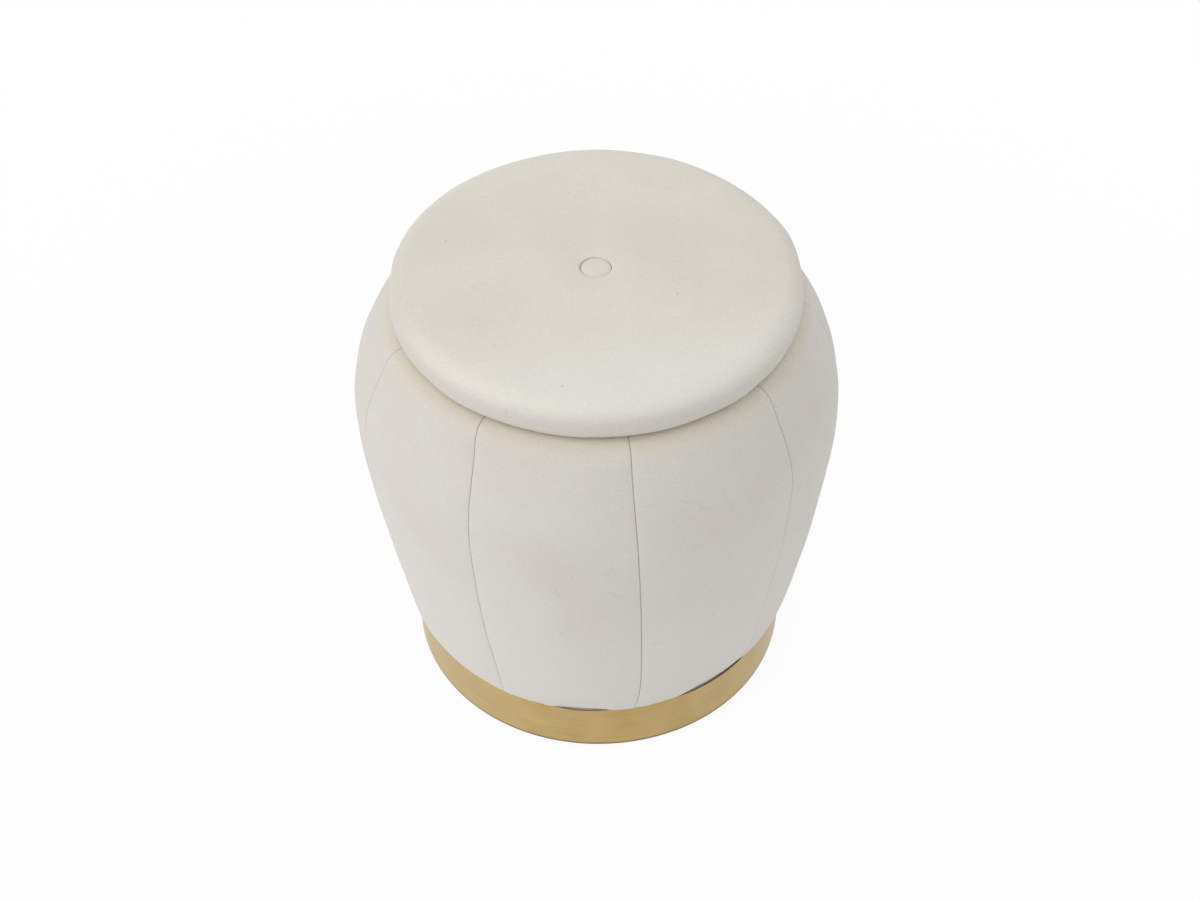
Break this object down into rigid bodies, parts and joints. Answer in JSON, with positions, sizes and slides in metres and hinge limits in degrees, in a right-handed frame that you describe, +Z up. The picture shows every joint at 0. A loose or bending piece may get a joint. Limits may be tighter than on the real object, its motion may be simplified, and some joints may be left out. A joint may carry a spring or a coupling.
{
  "type": "round storage ottoman",
  "caption": "Round barrel-shaped ottoman in panelled velvet on a metal base band, with a buttoned cushion lid that lifts off a storage well.",
  "frame": {"origin": "on the floor under the glides, on the axis of the body", "axes": "+Z up along the body's axis; -Y points out through one of the sewn seams; +X is to the right seen from -Y"},
  "size_m": [0.4422, 0.4396, 0.45],
  "materials": {
    "cream_velvet": "matte",
    "gold_band": "satin",
    "joint_steel": "satin",
    "screw_steel": "satin",
    "plywood": "matte",
    "fibreboard": "matte",
    "foam": "matte",
    "liner_board": "matte",
    "dust_cloth": "matte",
    "black_plastic": "matte",
    "twine": "matte"
  },
  "bodies": {
    "ottoman_body": {"glide_1": "black_plastic", "glide_2": "black_plastic", "glide_3": "black_plastic", "glide_4": "black_plastic", "glide_screw_1": "screw_steel", "glide_screw_2": "screw_steel", "glide_screw_3": "screw_steel", "glide_screw_4": "screw_steel", "base_band": "gold_band", "band_joint_plate": "joint_steel", "dust_cover": "dust_cloth", "bottom_board": "plywood", "plinth_hoop": "plywood", "rib_1": "plywood", "rib_2": "plywood", "rib_3": "plywood", "rib_4": "plywood", "rib_5": "plywood", "rib_6": "plywood", "rib_7": "plywood", "rib_8": "plywood", "rib_9": "plywood", "base_ring": "plywood", "mid_ring": "plywood", "top_ring": "plywood", "rib_screw_1": "screw_steel", "rib_screw_2": "screw_steel", "rib_screw_3": "screw_steel", "rib_screw_4": "screw_steel", "rib_screw_5": "screw_steel", "rib_screw_6": "screw_steel", "rib_screw_7": "screw_steel", "rib_screw_8": "screw_steel", "rib_screw_9": "screw_steel", "frame_shell": "fibreboard", "foam_wrap": "foam", "velvet_panel_1": "cream_velvet", "velvet_panel_2": "cream_velvet", "velvet_panel_3": "cream_velvet", "velvet_panel_4": "cream_velvet", "velvet_panel_5": "cream_velvet", "velvet_panel_6": "cream_velvet", "velvet_panel_7": "cream_velvet", "velvet_panel_8": "cream_velvet", "velvet_panel_9": "cream_velvet", "liner_tube": "liner_board", "liner_floor": "liner_board"},
    "lid": {"lid_velvet": "cream_velvet", "lid_foam": "foam", "lid_board": "plywood", "lid_underlining": "dust_cloth", "locating_disc": "plywood", "locating_screw_1": "screw_steel", "locating_screw_2": "screw_steel", "locating_screw_3": "screw_steel", "locating_screw_4": "screw_steel", "button": "cream_velvet", "button_twine": "twine", "twine_toggle": "black_plastic"}
  },
  "joints": [
    {"name": "lid_lift", "type": "slide", "parent": "ottoman_body", "child": "lid", "axis": [0, 0, 1], "range_m": [0, 0.35]}
  ]
}
